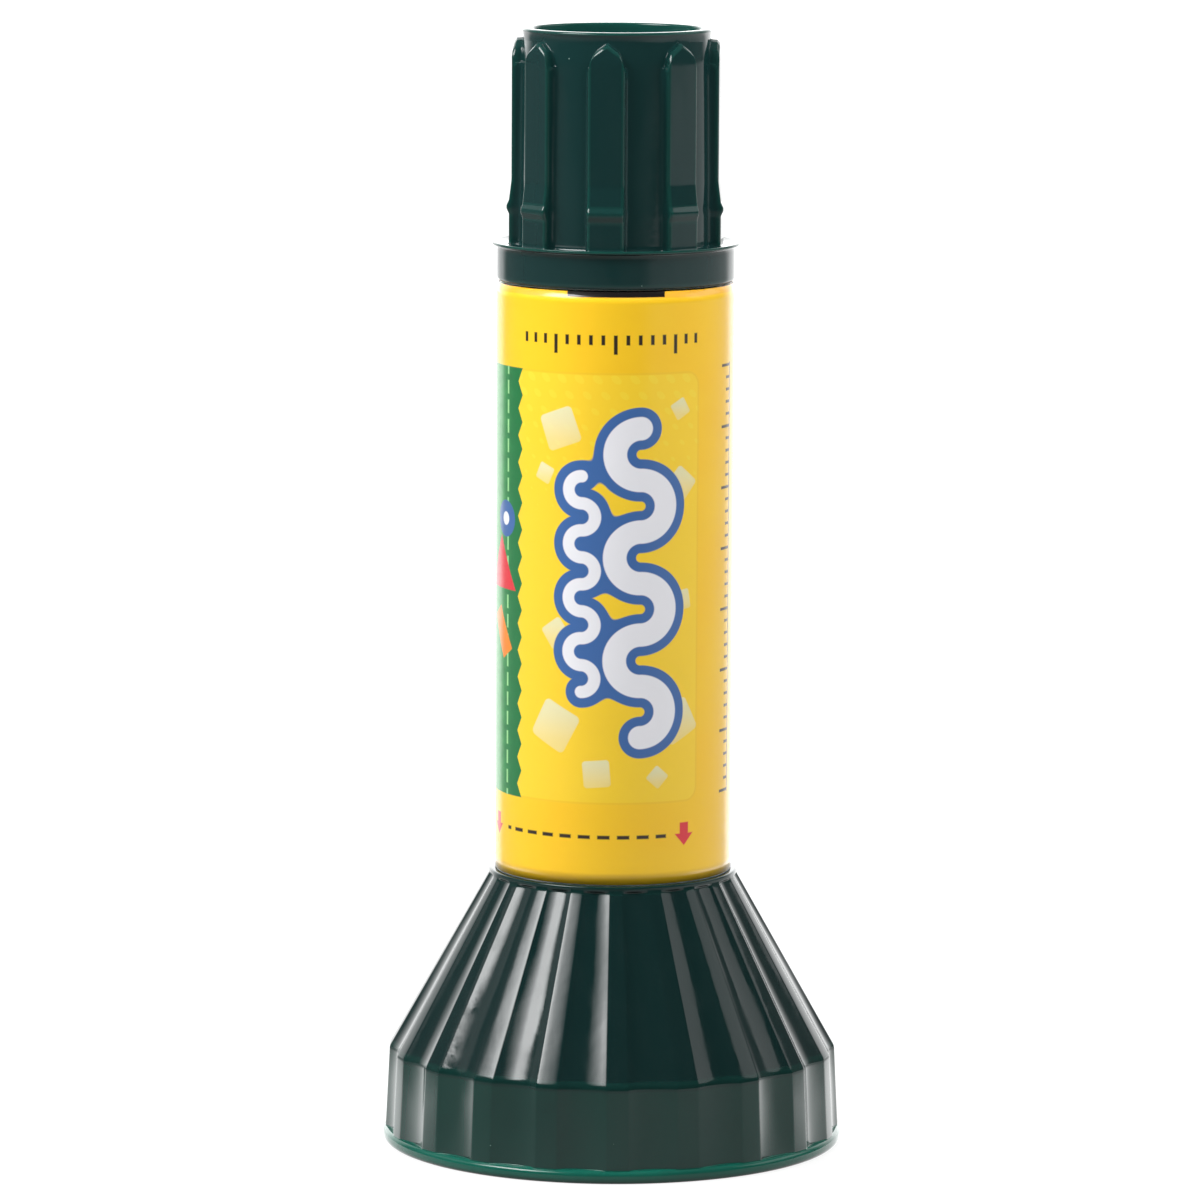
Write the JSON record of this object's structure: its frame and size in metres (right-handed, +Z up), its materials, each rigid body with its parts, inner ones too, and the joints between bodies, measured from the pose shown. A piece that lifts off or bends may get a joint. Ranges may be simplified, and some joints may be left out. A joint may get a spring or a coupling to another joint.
{
  "type": "glue stick",
  "caption": "Small twist-up glue stick standing upside down on its flared, fluted cap, with a labelled round barrel and a ribbed hollow knob that feeds the glue.",
  "frame": {"origin": "centre of the cap's underside, on the surface that the stick stands on", "axes": "+Z up the axis from the cap to the knob's rim; -Y is the front of the label; +X to its right"},
  "size_m": [0.0379, 0.0378, 0.0919],
  "materials": {
    "green_plastic": "moulded, glossy bottle green",
    "barrel_plastic": "moulded, off-white",
    "label_film": "printed film with a satin varnish",
    "white_plastic": "moulded, natural white",
    "glue_paste": "smooth waxy paste"
  },
  "bodies": {
    "cap": {"cap": "green_plastic"},
    "barrel": {"barrel": "barrel_plastic", "label": "label_film"},
    "knob": {"knob": "green_plastic", "lead_screw": "white_plastic"},
    "carrier": {"carrier": "white_plastic", "glue": "glue_paste"}
  },
  "joints": [
    {"name": "cap_pull", "type": "slide", "parent": "cap", "child": "barrel", "axis": [0, 0, 1], "range_m": [0, 0.03]},
    {"name": "knob_turn", "type": "hinge", "parent": "barrel", "child": "knob", "pos_m": [0, 0, 0.07425], "axis": [0, 0, -1], "range_deg": [0, 900]},
    {"name": "carrier_feed", "type": "slide", "parent": "barrel", "child": "carrier", "axis": [0, 0, -1], "range_m": [0, 0.0125]}
  ],
  "couplings": [
    {"joint": "knob_turn", "follows": "carrier_feed", "rad_per_m": 1256.6}
  ]
}
